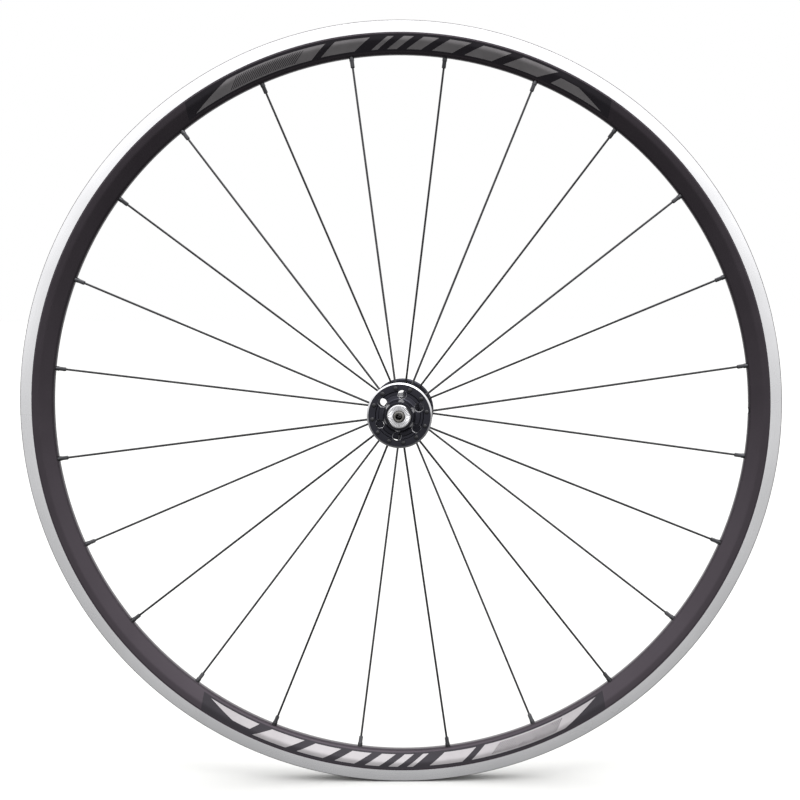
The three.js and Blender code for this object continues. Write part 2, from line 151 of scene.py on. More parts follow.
def platedSteel(name, low, high, gloss, depth=0.008):
    # zinc or nickel plate over turned steel: bright, slightly mottled, duller where it is rubbed
    material, tree, shader = newFinish(name, Metallic=1.0)
    place = addNode(tree, "ShaderNodeTexCoord").outputs["Object"]
    mottle = addNode(tree, "ShaderNodeTexNoise", {"Vector": place, "Scale": 1 / (1.6 * mm), "Detail": 5.0})
    grain = addNode(tree, "ShaderNodeTexNoise", {"Vector": place, "Scale": 1 / (0.25 * mm), "Detail": 2.0})
    dress(tree, shader, mottle.outputs[0], (low, high), mottle.outputs[0], (gloss + 0.1, gloss - 0.08),
          grain.outputs[0], depth)
    return material


def printedFilm(name, low, high, gloss, shine):
    # thin vinyl under clear lacquer: smooth, with the faint clouds and waves that a laid film keeps
    material, tree, shader = newFinish(name, Metallic=shine, Coat_Weight=0.1, Coat_Roughness=0.2)
    place = addNode(tree, "ShaderNodeTexCoord").outputs["Object"]
    cloud = addNode(tree, "ShaderNodeTexNoise", {"Vector": place, "Scale": 1 / (12 * mm), "Detail": 6.0})
    wave = addNode(tree, "ShaderNodeTexNoise", {"Vector": place, "Scale": 1 / (5 * mm), "Detail": 1.0})
    dress(tree, shader, cloud.outputs[0], (low, high), cloud.outputs[0], (gloss - 0.06, gloss + 0.1),
          wave.outputs[0], depth=0.01)
    return material


rimBlack = anodisedAluminium("black anodised rim", "#3a353a", "#403b40", 0.31)
hubBlack = anodisedAluminium("black anodised hub", "#29292f", "#323239", 0.30)
trackSilver = turnedAluminium("turned brake track", "#e6e6e8", "#cfcfd1", 0.26, 0.42, 0.006, seam=0.12)
edgeSilver = turnedAluminium("diamond-cut edge", "#bebec0", "#a9a9ac", 0.22, 0.20, 0.004)
boreGrey = turnedAluminium("drilled hole wall", "#a0a0a3", "#6d6d72", 0.30, 0.30, 0.010)
sleeveSilver = turnedAluminium("extruded joint sleeve", "#c9cacc", "#a3a4a7", 0.40, 1.2, 0.01)
filmDark = printedFilm("decal film", "#1d1a1f", "#252228", 0.26, 0.7)
inkSilver = printedFilm("silver decal ink", "#848183", "#959294", 0.34, 0.95)
wireBlack = blackenedSteel("black spoke wire", "#2b2b2d", "#3e3e40", 0.34)
nippleBlack = blackenedSteel("black nipple brass", "#363638", "#515154", 0.30)
capBlack = blackenedSteel("pressed steel dust cap", "#2f2f31", "#454547", 0.42)
nutSilver = platedSteel("nickel-plated steel", "#aeaeb0", "#d0d0d2", 0.24)
coneSteel = platedSteel("ground bearing steel", "#8f8f90", "#b0b0b0", 0.26)
axleGrey = platedSteel("oiled steel axle", "#565553", "#787673", 0.34)
ballSteel = platedSteel("polished ball steel", "#c4c6c8", "#dfe0e1", 0.12, 0.001)
print("finishes made")


# making shapes

def onWheel(radius, across, angle):
    a = math.radians(angle)
    return Vector((radius * math.cos(a), across, radius * math.sin(a))) * mm


def inPlane(point, side):
    # from a spoke's own plane of (radius, across) to the wheel, at angle 0
    return Vector((point[0], side * point[1], 0))


def rounded(outline, steps, closed=True):
    # outline: (radius, across, fillet, finish) for each corner, the finish being that of the edge after it
    points, count = [], len(outline)
    for i, (r, y, fillet, finish) in enumerate(outline):
        here = Vector((r, y))
        if not fillet or (not closed and i in (0, count - 1)):
            points.append((r, y, finish))
            continue
        before = Vector(outline[i - 1][:2]) - here
        after = Vector(outline[(i + 1) % count][:2]) - here
        half = before.angle(after) / 2
        most = 0.48 * min(before.length, after.length)  # so that two fillets fit on one edge
        reach = min(fillet / math.tan(half), most)
        radius = reach * math.tan(half)
        before.normalize()
        after.normalize()
        centre = here + (before + after).normalized() * math.hypot(reach, radius)
        start, end = here + before * reach - centre, here + after * reach - centre
        turn = start.angle_signed(end)
        for k in range(steps + 1):
            arm = Matrix.Rotation(-turn * k / steps, 2) @ start
            points.append((*(centre + arm), outline[i - 1][3] if k < steps / 2 else finish))
    return points


def mirrored(half):
    # a closed outline from its across >= 0 half, which starts and ends on the middle plane
    other = [(r, -y, fillet, half[i - 1][3]) for i, (r, y, fillet, _) in enumerate(half) if i and y > 0]
    return list(half) + other[::-1]


def turned(form, points, segments, inside=False):
    # spins a closed outline of (radius, across, finish number) round the axle
    rings = [[form.verts.new(onWheel(r, y, 360 * k / segments)) for r, y, _ in points]
             for k in range(segments)]
    faces, volume = [], 0
    for here, there in zip(rings, rings[1:] + rings[:1]):
        for j, point in enumerate(points):
            n = (j + 1) % len(points)
            face = form.faces.new((here[j], here[n], there[n], there[j]))
            face.material_index, face.smooth = point[2], True
            face.normal_update()
            volume += face.calc_area() * face.normal.dot(face.calc_center_median())
            faces.append(face)
    if (volume < 0) != inside:
        bmesh.ops.reverse_faces(form, faces=faces)


def newPiece(name, form, finishes, sharp=None):
    # edges bent by more than the sharp angle are drawn crisp
    mesh = bpy.data.meshes.new(name)
    form.to_mesh(mesh)
    form.free()
    for finish in finishes:
        mesh.materials.append(finish)
    piece = bpy.data.objects.new(name, mesh)
    bpy.context.scene.collection.objects.link(piece)
    if sharp:
        mesh.set_sharp_from_angle(angle=math.radians(sharp))
    return piece


def turnedPiece(name, outline, finish, steps, segments, side=left, sharp=35):
    form = bmesh.new()
    outline = [(r, side * y, fillet, number) for r, y, fillet, number in outline]
    turned(form, rounded(outline, steps), segments)
    return newPiece(name, form, [finish], sharp)


def baked(piece, sharp=None):
    # the piece as its modifiers leave it, as a plain mesh
    graph = bpy.context.evaluated_depsgraph_get()
    mesh = bpy.data.meshes.new_from_object(piece.evaluated_get(graph), preserve_all_data_layers=True,
                                           depsgraph=graph)
    mesh.name = piece.name
    piece.modifiers.clear()
    piece.data = mesh
    if sharp:
        mesh.set_sharp_from_angle(angle=math.radians(sharp))


def cut(piece, cutter, sharp):
    # takes the cutter out of the piece; the new walls keep the cutter's finish
    tool = piece.modifiers.new("cut", "BOOLEAN")
    tool.object, tool.operation, tool.solver = cutter, "DIFFERENCE", "EXACT"
    tool.material_mode = "TRANSFER"
    baked(piece, sharp)
    bpy.data.objects.remove(cutter)


def ringsAlong(form, start, along, aside, stations, sides, wrap):
    # joins a ring of points at each (distance, radius, distance across the flats) station along a line
    over = along.cross(aside)
    rings = []
    for distance, radius, flats in stations:
        ring = []
        for k in range(sides):
            c, s = math.cos(2 * math.pi * k / sides), math.sin(2 * math.pi * k / sides)
            reach = min(radius, flats / 2 / max(abs(c), abs(s))) if flats else radius
            ring.append(form.verts.new(start + (along * distance + (aside * c + over * s) * reach) * mm))
        rings.append(ring)
    faces = []
    for here, there in zip(rings, rings[1:] + (rings[:1] if wrap else [])):
        for k in range(sides):
            n = (k + 1) % sides
            faces.append(form.faces.new((here[k], here[n], there[n], there[k])))
    if not wrap:
        faces += [form.faces.new(rings[0][::-1]), form.faces.new(rings[-1])]
    for face in faces:
        face.smooth = True


def drill(start, along, steps, sides):
    # a cutter of (distance, radius) steps along a line, closed at both ends
    form = bmesh.new()
    along = along.normalized()
    aside = along.orthogonal().normalized()
    ringsAlong(form, start, along, aside, [(*step, 0) for step in steps], sides, wrap=False)
    return form


def settle(piece, body, slot, *nodes):
    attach(piece, body)
    if nodes:
        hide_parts(*nodes)


# node trees for what repeats round the axle

def newTree(name, inputs):
    tree = bpy.data.node_groups.new(name, "GeometryNodeTree")
    face = tree.interface
    face.new_socket("Geometry", in_out="INPUT", socket_type="NodeSocketGeometry")
    for label, kind in inputs.items():
        face.new_socket(label, in_out="INPUT", socket_type="NodeSocket" + kind)
    face.new_socket("Geometry", in_out="OUTPUT", socket_type="NodeSocketGeometry")
    return tree, addNode(tree, "NodeGroupInput").outputs


def copyRound(tree, shape, given):
    # copies of a shape, turned about the axle from a first angle by equal steps, which end the tree
    points = addNode(tree, "GeometryNodePoints", {"Count": given["Count"]})
    index = addNode(tree, "GeometryNodeInputIndex").outputs[0]
    turn = addNode(tree, "ShaderNodeMath", {0: index, 1: given["Step angle"], 2: given["First angle"]},
                   operation="MULTIPLY_ADD")
    back = addNode(tree, "ShaderNodeMath", {0: turn.outputs[0], 1: -math.pi / 180}, operation="MULTIPLY")
    euler = addNode(tree, "ShaderNodeCombineXYZ", {"Y": back.outputs[0]})
    facing = addNode(tree, "FunctionNodeEulerToRotation", {"Euler": euler.outputs[0]})
    copies = addNode(tree, "GeometryNodeInstanceOnPoints",
                     {"Points": points.outputs[0], "Instance": shape, "Rotation": facing.outputs[0]})
    real = addNode(tree, "GeometryNodeRealizeInstances", {"Geometry": copies.outputs[0]})
    smooth = addNode(tree, "GeometryNodeSetShadeSmooth", {"Geometry": real.outputs[0]})
    coloured = addNode(tree, "GeometryNodeSetMaterial",
                       {"Geometry": smooth.outputs[0], "Material": given["Finish"]})
    addNode(tree, "NodeGroupOutput", {"Geometry": coloured.outputs[0]})
    return tree


ringInputs = {"Count": "Int", "First angle": "Float", "Step angle": "Float", "Finish": "Material"}


def makeRingTree():
    tree, given = newTree("ring of copies", ringInputs)
    return copyRound(tree, given["Geometry"], given)


def makeWireTree():
    # sweeps a round section along a path, as thick as the path's own "thickness", and repeats it
    tree, given = newTree("ring of wires", {**ringInputs, "Wire radius": "Float", "Sides": "Int"})
    path = addNode(tree, "GeometryNodeMeshToCurve", {"Mesh": given["Geometry"]})
    thickness = addNode(tree, "GeometryNodeInputNamedAttribute", {"Name": "thickness"}, data_type="FLOAT")
    section = addNode(tree, "GeometryNodeCurvePrimitiveCircle",
                      {"Radius": given["Wire radius"], "Resolution": given["Sides"]})
    wire = addNode(tree, "GeometryNodeCurveToMesh",
                   {"Curve": path.outputs[0], "Profile Curve": section.outputs[0],
                    "Scale": thickness.outputs[0], "Fill Caps": True})
    return copyRound(tree, wire.outputs[0], given)


def grow(piece, tree, sharp=None, **values):
    # runs a tree on a piece with the named inputs, and keeps the result as a plain mesh
    modifier = piece.modifiers.new(tree.name, "NODES")
    modifier.node_group = tree
    for socket in tree.interface.items_tree:
        for name, value in values.items():
            if socket.in_out == "INPUT" and name.lower() == socket.name.replace(" ", "").lower():
                modifier[socket.identifier] = value
    baked(piece, sharp)


ringTree = makeRingTree()
wireTree = makeWireTree()
print("node trees made")


# spokes lie in planes through the axle, so their shape is told in (radius, across)

spokeSizes = {
    "perSide": 12, "first": 7.5, "wire": 0.9, "sides": 14,
    "seat": (294.4, 0.7), "elbow": 2.0, "elbowCentre": (24.3, 34.9), "elbowSteps": 8,
    "headAcross": 37.8, "holeCircle": 22.3, "tail": 1.4, "stops": (20, 90, 180),
    # (height above the flange, thickness against the wire's) up the domed head
    "head": [(-0.3, 1.0), (-0.06, 1.25), (0.0, 1.9), (0.12, 2.08), (0.45, 2.1), (0.78, 1.92), (1.03, 1.5),
             (1.2, 0.9), (1.26, 0.35)],
}


def spokeLine():
    # the nipple's seat, the direction of the wire towards the rim, and its tilt
    z = spokeSizes
    centre, seat = Vector(z["elbowCentre"]), Vector(z["seat"])
    reach = seat - centre
    tilt = math.atan2(-reach.y, reach.x) - math.asin(z["elbow"] / reach.length)
    return seat, Vector((math.cos(tilt), -math.sin(tilt))), tilt


def atEachSpoke(piece, tree, side, finish, sharp=None, **values):
    # the left side's spokes stand halfway between the right side's
    step = 360 / spokeSizes["perSide"]
    first = spokeSizes["first"] + (0 if side == right else step / 2)
    grow(piece, tree, sharp, count=spokeSizes["perSide"], firstAngle=first, stepAngle=step,
         finish=finish, **values)


# rim

black, silver = 0, 1  # places in a piece's list of finishes

rimSizes = {
    "segments": 288, "filletSteps": 5, "hollowSteps": 3,
    # (distance from the nipple's seat towards the tyre, radius) through the spoke bed and the driver's hole
    "nippleHole": [(-12, 2.35), (6, 2.35), (6.01, 4.3), (22, 4.3)], "nippleHoleSides": 20,
    "valveFrom": 280, "valveHole": [(0, 3.25), (50, 3.25)], "valveHoleSides": 28,
    # corners of the left half, from the tyre's channel over the hook and the brake track to the spoke face
    "outline": [
        (307.2, 0, 0, black), (307.2, 4.7, 0.8, black), (311.0, 9.15, 0.8, black), (314, 9.15, 0.4, black),
        (315, 8.25, 0.4, black), (317.0, 8.25, 0.25, black), (317.0, 10.15, 0.3, black),
        (316.4, 10.75, 0.12, silver), (307.45, 10.75, 0.05, black), (307.1, 10.53, 0.1, black),
        (306.4, 10.69, 0.5, black), (301.6, 9.6, 7.0, black), (292.6, 4.22, 1.2, black),
        (291.2, 2.2, 1.2, black), (291.2, 0, 0, black)],
    "hollow": [
        (305.8, 0, 0, black), (305.8, 8.95, 0.6, black), (301.6, 8.2, 5.0, black), (294.4, 3.9, 0.6, black),
        (294.4, 0, 0, black)],
}


def makeRim():
    z = rimSizes
    form = bmesh.new()
    turned(form, rounded(mirrored(z["outline"]), z["filletSteps"]), z["segments"])
    turned(form, rounded(mirrored(z["hollow"]), z["hollowSteps"]), z["segments"], inside=True)
    rim = newPiece("rim_hoop", form, [rimBlack, trackSilver, boreGrey], sharp=35)
    seat, along, _ = spokeLine()
    for side in (right, left):
        form = drill(inPlane(seat, side) * mm, inPlane(along, side), z["nippleHole"],
                     z["nippleHoleSides"])
        holes = newPiece("nipple holes", form, [boreGrey])
        atEachSpoke(holes, ringTree, side, boreGrey)
        cut(rim, holes, sharp=32)
    form = drill(onWheel(z["valveFrom"], 0, 0), Vector((1, 0, 0)), z["valveHole"], z["valveHoleSides"])
    cut(rim, newPiece("valve hole", form, [boreGrey]), sharp=32)
    settle(rim, "wheel", "rim_alloy", "rim")


makeRim()
print("rim made")


# spokes and nipples

def nodesOf(kind, side):
    # they have odd numbers on the right flange and even ones on the left
    return [f"{kind}_{n:02d}" for n in range(1 if side == right else 2, 2 * spokeSizes["perSide"] + 1, 2)]


def makeSpokes(side):
    z = spokeSizes
    seat, along, tilt = spokeLine()
    path = [(seat + along * z["tail"], 1.0)] + [(seat - along * stop, 1.0) for stop in z["stops"]]
    for k in range(z["elbowSteps"] + 1):
        a = (math.pi / 2 - tilt) * (1 - k / z["elbowSteps"])
        path.append((Vector(z["elbowCentre"]) - Vector((math.cos(a), math.sin(a))) * z["elbow"], 1.0))
    path += [((z["holeCircle"], z["headAcross"] + height), wide) for height, wide in z["head"]]
    form = bmesh.new()
    thickness = form.verts.layers.float.new("thickness")
    verts = []
    for point, wide in path:
        verts.append(form.verts.new(inPlane(point, side) * mm))
        verts[-1][thickness] = wide
    for here, there in zip(verts, verts[1:]):
        form.edges.new((here, there))
    spokes = newPiece(f"spokes_{sideNames[side]}", form, [wireBlack])
    atEachSpoke(spokes, wireTree, side, wireBlack, sharp=50, wireRadius=z["wire"] * mm, sides=z["sides"])
    settle(spokes, "wheel", "spoke_steel", *nodesOf("spoke", side))


nippleSizes = {
    "sides": 24, "offset": 0.3,
    # (distance towards the rim, radius, distance across the flats) from the head down to the spoke's way in
    "stations": [(2.4, 1.1, 0), (2.4, 2.7, 0), (2.1, 3.0, 0), (0.9, 3.0, 0), (0.1, 2.1, 0), (-5.2, 2.0, 0),
                 (-5.9, 2.0, 0), (-6.3, 2.0, 3.3), (-11.0, 2.0, 3.3), (-11.35, 1.8, 3.05), (-11.6, 1.5, 0),
                 (-11.6, 1.1, 0)],
}


def makeNipples(side):
    z = nippleSizes
    seat, along, _ = spokeLine()
    start, along = inPlane(seat, side), inPlane(along, side)
    form = bmesh.new()
    ringsAlong(form, (start + along * z["offset"]) * mm, along.normalized(), Vector((0, 0, 1)),
               z["stations"], z["sides"], wrap=True)
    bmesh.ops.recalc_face_normals(form, faces=form.faces)
    nipples = newPiece(f"nipples_{sideNames[side]}", form, [nippleBlack])
    atEachSpoke(nipples, ringTree, side, nippleBlack, sharp=32)
    settle(nipples, "wheel", "nipple_brass", *nodesOf("nipple", side))


for side in (right, left):
    makeSpokes(side)
    makeNipples(side)
print("spokes and nipples made")


# hub

hubSizes = {
    "segments": 160, "filletSteps": 8, "outer": 37.5,
    "holes": 6, "holeCircle": 17.2, "holeAngle": {right: 22.5, left: 37.5},
    # corners of the left half: barrel, flange, its sunk ring and the boss, then back through the bore
    "outline": [
        (12.5, 0, 0, black), (12.5, 22.5, 12, black), (14.5, 31.5, 5, black), (17.2, 34.5, 1.5, black),
        (25.4, 34.5, 0.08, black), (26.7, 35.3, 0.15, black), (26.7, 36.7, 0.15, silver),
        (25.4, 37.5, 0.08, black), (19.8, 37.5, 0.35, black), (19.2, 36.7, 0.3, black),
        (17.3, 36.7, 0.2, black), (16.7, 37.6, 0.25, black), (14.2, 37.9, 0.5, black),
        (13.2, 38.4, 0.5, black), (12.9, 39.6, 0.8, black), (12.0, 44.6, 1.2, black),
        (11.6, 47.0, 0.25, black), (10.6, 47.0, 0.15, black), (10.6, 39.6, 0, black),
        (9.83, 37.8, 0, black), (8.0, 37.0, 0, black), (7.0, 37.0, 0.2, black), (7.0, 0, 0, black)],
    # (height above the flange, radius) down the holes
    "holeSteps": [(-6, 3.5), (-1.1, 3.5), (-0.7, 3.9), (4, 3.9)], "holeSides": 40,
    "spokeHoleSteps": [(-6, 1.2), (-0.35, 1.2), (0.1, 1.7)], "spokeHoleSides": 16,
    "flareSlope": (0.3, 0.95),  # how far the faces of the flared ring look along the axle
}


def makeHub():
    z = hubSizes
    form = bmesh.new()
    turned(form, rounded(mirrored(z["outline"]), z["filletSteps"]), z["segments"])
    hub = newPiece("hub_body", form, [hubBlack, edgeSilver], sharp=15)
    steepest, flattest = z["flareSlope"]
    for side in (right, left):
        out = Vector((0, side, 0))
        form = drill(onWheel(z["holeCircle"], side * z["outer"], 0), out, z["holeSteps"], z["holeSides"])
        holes = newPiece("lightening holes", form, [hubBlack])
        grow(holes, ringTree, count=z["holes"], firstAngle=z["holeAngle"][side], stepAngle=360 / z["holes"],
             finish=hubBlack)
        holes.data.materials.append(edgeSilver)
        for face in holes.data.polygons:  # the flared ring is bare metal
            face.material_index = silver if steepest < abs(face.normal.y) < flattest else black
        cut(hub, holes, sharp=15)
        form = drill(onWheel(spokeSizes["holeCircle"], side * z["outer"], 0), out, z["spokeHoleSteps"],
                     z["spokeHoleSides"])
        holes = newPiece("spoke holes", form, [hubBlack])
        atEachSpoke(holes, ringTree, side, hubBlack)
        cut(hub, holes, sharp=15)
    settle(hub, "wheel", "hub_alloy", "hub_shell")


makeHub()
print("hub made")


# axle and bearings

axleSizes = {
    "radius": 4.5, "core": 4.15, "root": 4.2, "bore": 2.5, "end": 54.0, "threadFrom": 40.0, "threadGap": 1.2,
    "threadRunOut": 0.6, "pitch": 1.0, "crest": 0.08, "segments": 64, "filletSteps": 2,
    # (radius, distance from the end, fillet) round the chamfered end and into the bore
    "endOutline": [(4.4, 0.7, 0.1), (3.9, 0, 0.15), (2.85, 0, 0.1), (2.5, 0.4, 0.1)],
}


def makeAxle():
    z = axleSizes
    outline = [(z["core"], 0, 0, 0), (z["core"], z["threadFrom"] - z["threadRunOut"], 0, 0)]
    turns = math.ceil((z["end"] - z["threadGap"] - z["threadFrom"]) / z["pitch"])
    for across in (z["threadFrom"] + k * z["pitch"] for k in range(turns)):
        outline += [(z["radius"], across, z["crest"], 0), (z["root"], across + z["pitch"] / 2, z["crest"], 0)]
    outline += [(r, z["end"] - back, fillet, 0) for r, back, fillet in z["endOutline"]]
    outline.append((z["bore"], 0, 0, 0))
    axle = turnedPiece("axle_tube", mirrored(outline), axleGrey, z["filletSteps"], z["segments"],
                       sharp=40)
    settle(axle, "axle", "axle_steel", "axle")


def cutFlats(piece, reach, low, high, angle, side, finish):
    # takes off two flats, a stated reach from the axis, between two distances across
    form = bmesh.new()
    deep, long = 10, 40  # the cutting block reaches well past the piece
    size = Vector((deep, high - low, long))
    for turn in (angle, angle + 180):
        block = bmesh.ops.create_cube(form, size=1)["verts"]
        middle = Vector((reach + size.x / 2, side * (low + high) / 2, 0))
        place = Matrix.Rotation(-math.radians(turn), 4, "Y") @ Matrix.Translation(middle * mm)
        bmesh.ops.transform(form, matrix=place @ Matrix.Diagonal(size * mm).to_4x4(), verts=block)
    cut(piece, newPiece("flats cutter", form, [finish]), sharp=30)


nutSizes = {
    "segments": 96, "filletSteps": 3, "flats": 8.5, "flatsAngle": 30, "flatsFrom": 46.1, "flatsTo": 51.0,
    "face": 50.0,
    "outline": [(4.65, 47.1, 0.1, 0), (9.5, 47.1, 0.35, 0), (9.5, 49.27, 0.2, 0), (8.9, 49.72, 0.1, 0),
                (4.95, 49.72, 0.1, 0), (4.65, 49.42, 0.05, 0)],
    # the teeth that bite into the fork end: their count, root, ends, and width as a share of the spacing
    "teeth": 40, "toothRoot": 49.67, "toothInside": 5.1, "toothOutside": 8.4, "toothWidth": 0.98,
}


def makeLocknut(side):
    z = nutSizes
    nut = turnedPiece(f"locknut_body_{sideNames[side]}", z["outline"], nutSilver, z["filletSteps"],
                      z["segments"], side)
    cutFlats(nut, z["flats"], z["flatsFrom"], z["flatsTo"], z["flatsAngle"], side, nutSilver)
    settle(nut, "axle", "locknut_steel", f"locknut_{sideNames[side]}")
    inside, outside, root, face = z["toothInside"], z["toothOutside"], z["toothRoot"], z["face"]
    wide = math.pi / z["teeth"] * z["toothWidth"]
    corners = [(inside, root, -wide * inside), (outside, root, -wide * outside), (outside, face, 0),
               (inside, face, 0), (inside, root, wide * inside), (outside, root, wide * outside)]
    form = bmesh.new()
    verts = [form.verts.new(Vector((x, side * y, up)) * mm) for x, y, up in corners]
    for loop in ((0, 1, 2, 3), (3, 2, 5, 4), (0, 4, 5, 1), (0, 3, 4), (1, 5, 2)):
        form.faces.new([verts[i] for i in loop])
    bmesh.ops.recalc_face_normals(form, faces=form.faces)
    teeth = newPiece(f"locknut_teeth_{sideNames[side]}", form, [nutSilver])
    grow(teeth, ringTree, sharp=10, count=z["teeth"], firstAngle=0.0, stepAngle=360 / z["teeth"],
         finish=nutSilver)
    settle(teeth, "axle", "locknut_steel")


coneSizes = {
    "segments": 96, "filletSteps": 4, "flats": 6.5, "flatsAngle": 0, "flatsFrom": 44.2, "flatsTo": 47.8,
    "outline": [(4.65, 38.4, 0.1, 0), (5.4, 38.4, 0.2, 0), (5.4, 39.6, 0.8, 0), (6.18, 41.42, 1.0, 0),
                (7.5, 42.2, 0.3, 0), (7.5, 46.8, 0.2, 0), (4.65, 46.8, 0.1, 0)],
}


def makeCone(side):
    z = coneSizes
    cone = turnedPiece(f"cone_body_{sideNames[side]}", z["outline"], coneSteel, z["filletSteps"],
                       z["segments"], side)
    cutFlats(cone, z["flats"], z["flatsFrom"], z["flatsTo"], z["flatsAngle"], side, coneSteel)
    settle(cone, "axle", "cone_steel", f"cone_{sideNames[side]}")


capSizes = {
    "segments": 96, "filletSteps": 3,
    "outline": [(7.8, 45.6, 0.15, 0), (9.6, 45.3, 0.3, 0), (10.45, 44.2, 0.1, 0), (10.45, 46.45, 0.25, 0),
                (10.1, 46.6, 0.15, 0), (9.2, 46.35, 0.4, 0), (8.1, 46.6, 0.2, 0), (7.8, 46.5, 0.1, 0)],
}


def makeDustCap(side):
    z = capSizes
    cap = turnedPiece(f"dust_seal_{sideNames[side]}", z["outline"], capBlack, z["filletSteps"],
                      z["segments"], side)
    settle(cap, "wheel", "dust_cap_steel", f"dust_cap_{sideNames[side]}")


ballSizes = {
    "radius": 2.381, "circle": 8.0, "across": 39.6, "count": 9, "subdivisions": 3, "segments": 72,
    "filletSteps": 3,
    "retainer": [(8.9, 40.7, 0.2, 0), (10.3, 40.7, 0.2, 0), (10.3, 41.7, 0.2, 0), (8.9, 41.7, 0.2, 0)],
}


def makeBalls(side):
    z, name = ballSizes, sideNames[side]
    form = bmesh.new()
    place = Matrix.Translation(onWheel(z["circle"], side * z["across"], 0))
    bmesh.ops.create_icosphere(form, subdivisions=z["subdivisions"], radius=z["radius"] * mm, matrix=place)
    balls = newPiece(f"balls_{name}", form, [ballSteel])
    grow(balls, ringTree, count=z["count"], firstAngle=0.0, stepAngle=360 / z["count"], finish=ballSteel)
    settle(balls, f"cage_{name}", "bearing_steel", f"ball_cage_{name}")
    retainer = turnedPiece(f"ball_retainer_{name}", z["retainer"], nutSilver, z["filletSteps"],
                           z["segments"], side)
    settle(retainer, f"cage_{name}", "bearing_steel")


makeAxle()
for side in (right, left):
    makeLocknut(side)
    makeCone(side)
    makeDustCap(side)
    makeBalls(side)
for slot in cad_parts["rim_joint_sleeve"].material_slots:
    slot.link = "OBJECT"
    slot.material = sleeveSilver
print("axle and bearings made")


# decals: plain slanted bars and a hatched dart, the same on both sides of the rim and repeated at the top

decalSizes = {
    "middle": 270, "length": 186, "cornerCut": 6, "inner": 293.6, "outer": 306.1, "pitchRadius": 300.0,
    "film": 0.04, "ink": 0.07, "hatch": 0.10, "sunk": 0.02,  # how far each layer stands out, and its footing
    "slant": 14, "barFrom": 0.10, "barTo": 0.86, "bars": {-118: 30, -78: 23, -45: 17, -19: 12, 1: 8, 17: 5},
    "hatchStart": 86, "hatchLines": 28, "hatchStep": 2.1, "hatchWidth": 0.8, "hatchSlant": 10,
    "hatchEdges": (0.18, 0.76), "stepAlong": 3, "stepsDown": 14, "wallSteps": 16,
    # each patch: where its upper edge starts and ends along the rim, the same for its lower edge, and how
    # far down the wall each edge lies, as a share of the wall
    "ends": [(-178, -130, -152, -136, 0.10, 0.60), (36, 64, 22, 50, 0.12, 0.84),
             (72, 178, 58, 142, 0.10, 0.84)],
}


def wallProfile():
    # the slanted side of the hoop between its spoke face and its track, as (radius, across) points
    corners = rimSizes["outline"][-3:-6:-1]
    return [Vector(point[:2]) for point in rounded(corners, decalSizes["wallSteps"], closed=False)]


wall = wallProfile()


def onWall(along, down, lift):
    z = decalSizes
    radius = z["inner"] + (z["outer"] - z["inner"]) * down
    low, high = next((a, b) for a, b in zip(wall, wall[1:]) if b.x >= radius)
    run = (high - low).normalized()
    here = low + run * (radius - low.x) / run.x + Vector((-run.y, run.x)) * lift
    return onWheel(here.x, right * here.y, z["middle"] + math.degrees(along / z["pitchRadius"]))


def addPatch(form, patch, lift):
    topStart, topEnd, lowStart, lowEnd, top, low = patch
    across = max(2, round(max(topEnd - topStart, lowEnd - lowStart) / decalSizes["stepAlong"]))
    deep = max(2, round((low - top) * decalSizes["stepsDown"]))
    grid = []
    for j in range(deep + 1):
        v = j / deep
        start, end = topStart + (lowStart - topStart) * v, topEnd + (lowEnd - topEnd) * v
        down = top + (low - top) * v
        grid.append([form.verts.new(onWall(start + (end - start) * i / across, down, lift))
                     for i in range(across + 1)])
    for here, there in zip(grid, grid[1:]):
        for i in range(across):
            form.faces.new((here[i], there[i], there[i + 1], here[i + 1])).smooth = True


def slanted(start, width, slant, top, low):
    return (start, start + width, start - slant, start - slant + width, top, low)


def makeDecals():
    z = decalSizes
    end, corner = z["length"], z["length"] - z["cornerCut"]
    bars = [slanted(start, width, z["slant"], z["barFrom"], z["barTo"]) for start, width in z["bars"].items()]
    line = slanted(z["hatchStart"], z["hatchWidth"], z["hatchSlant"], *z["hatchEdges"])
    layers = {
        "decal_film": (filmDark, z["film"], [(-end, end, -corner, corner, 0.0, 1.0)], 1),
        "decal_ink": (inkSilver, z["ink"], bars + z["ends"], 1),
        "decal_hatch": (filmDark, z["hatch"], [line], z["hatchLines"]),
    }
    for name, (finish, lift, patches, copies) in layers.items():
        form = bmesh.new()
        for patch in patches:
            addPatch(form, patch, lift)
        decal = newPiece(f"{name}_right", form, [finish])
        depth = decal.modifiers.new("thickness", "SOLIDIFY")
        depth.thickness, depth.offset = (lift + z["sunk"]) * mm, -1
        grow(decal, ringTree, count=copies, firstAngle=0.0,
             stepAngle=math.degrees(z["hatchStep"] / z["pitchRadius"]), finish=finish)
        grow(decal, ringTree, sharp=35, count=2, firstAngle=0.0, stepAngle=180.0, finish=finish)
        other = bpy.data.objects.new(f"{name}_left", decal.data.copy())
        other.data.transform(Matrix.Rotation(math.pi, 4, "Z"))
        bpy.context.scene.collection.objects.link(other)
        for piece in (decal, other):
            settle(piece, "wheel", "rim_alloy")


makeDecals()
print("decals made")


# floor, light and camera

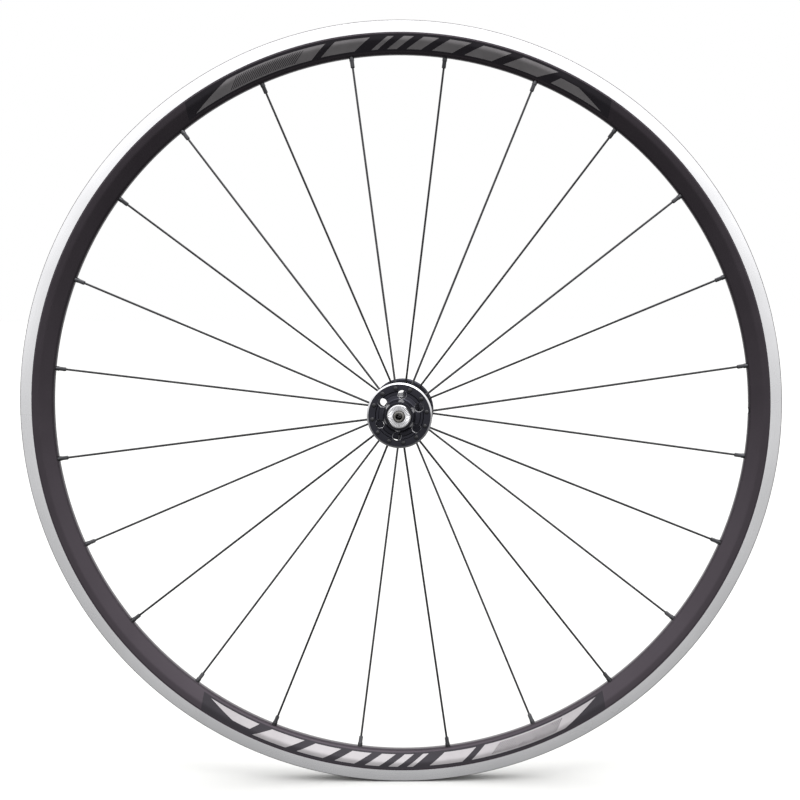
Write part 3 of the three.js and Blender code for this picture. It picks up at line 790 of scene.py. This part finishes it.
studio = {
    "floorSize": 60.0, "floorSides": 96, "floorGap": 0.4, "floor": "#bcbcbb", "backdrop": "#ffffff",
    "brightest": 2.7,
    # brightness of the surroundings that surfaces see, from straight down (0) to straight up (1)
    "sky": [(0.0, 0.20), (0.20, 0.25), (0.29, 0.42), (0.35, 0.60), (0.42, 0.62), (0.465, 0.58), (0.49, 0.76),
            (0.51, 1.15), (0.53, 1.5), (0.60, 1.6), (0.70, 1.7), (0.80, 2.2), (0.88, 2.7), (1.0, 2.5)],
    "softbox": (1.6, 1.0), "softboxPower": 14, "softboxPlace": (0.5, -1.3, 1.9),
}
cameraSizes = {
    "place": (42.7, -1162.7, 84.5), "turns": [(0.25, "Z"), (-7.06, "X"), (0.24, "Y"), (90, "X")],
    "lens": 62.4, "sensor": 36.0, "shift": (-0.0578, 0.103),
}


def makeFloor():
    material = newFinish("matt white floor", Roughness=1.0, Specular_IOR_Level=0.0,
                         Base_Color=hexColour(studio["floor"]))[0]
    form = bmesh.new()
    low = Matrix.Translation((0, 0, cadBox[0][2] - studio["floorGap"] * mm))
    bmesh.ops.create_circle(form, cap_ends=True, radius=studio["floorSize"],
                            segments=studio["floorSides"], matrix=low)
    floor = newPiece("floor", form, [material])
    floor.visible_glossy = False  # polished metal sees the dimmer surroundings instead


def lightStudio():
    # an overcast sky over a dim floor, which only surfaces see: the camera sees a white backdrop
    world = bpy.data.worlds.new("studio")
    bpy.context.scene.world = world
    world.use_nodes = True
    tree = world.node_tree
    tree.nodes.clear()
    aim = addNode(tree, "ShaderNodeTexCoord").outputs["Generated"]
    apart = addNode(tree, "ShaderNodeSeparateXYZ", {"Vector": aim})
    height = addNode(tree, "ShaderNodeMapRange",
                     {"Value": apart.outputs["Z"], "From Min": -1.0, "From Max": 1.0})
    ramp = addNode(tree, "ShaderNodeValToRGB", {"Fac": height.outputs[0]})
    elements = ramp.color_ramp.elements
    elements.remove(elements[1])
    for number, (place, level) in enumerate(studio["sky"]):
        element = elements.new(place) if number else elements[0]
        element.position, element.color = place, [level / studio["brightest"]] * 3 + [1]
    dome = addNode(tree, "ShaderNodeBackground",
                   {"Color": ramp.outputs["Color"], "Strength": studio["brightest"]})
    backdrop = addNode(tree, "ShaderNodeBackground", {"Color": hexColour(studio["backdrop"])})
    seen = addNode(tree, "ShaderNodeLightPath").outputs["Is Camera Ray"]
    mixed = addNode(tree, "ShaderNodeMixShader", {0: seen, 1: dome.outputs[0], 2: backdrop.outputs[0]})
    addNode(tree, "ShaderNodeOutputWorld", {"Surface": mixed.outputs[0]})
    lamp = bpy.data.lights.new("softbox", "AREA")
    lamp.shape, lamp.energy = "RECTANGLE", studio["softboxPower"]
    lamp.size, lamp.size_y = studio["softbox"]
    box = bpy.data.objects.new("softbox", lamp)
    bpy.context.scene.collection.objects.link(box)
    box.location = studio["softboxPlace"]
    box.rotation_euler = box.location.to_track_quat("Z", "Y").to_euler()  # it faces the hub


def placeCamera():
    z = cameraSizes
    camera = bpy.data.objects.new("camera", bpy.data.cameras.new("camera"))
    bpy.context.scene.collection.objects.link(camera)
    bpy.context.scene.camera = camera
    camera.data.sensor_width, camera.data.lens = z["sensor"], z["lens"]
    camera.data.shift_x, camera.data.shift_y = z["shift"]
    place = Matrix.Translation(Vector(z["place"]) * mm)
    for angle, axis in z["turns"]:
        place = place @ Matrix.Rotation(math.radians(angle), 4, axis)
    camera.matrix_world = place


makeFloor()
lightStudio()
placeCamera()
bpy.context.scene.view_settings.view_transform = "Standard"
print("studio ready")
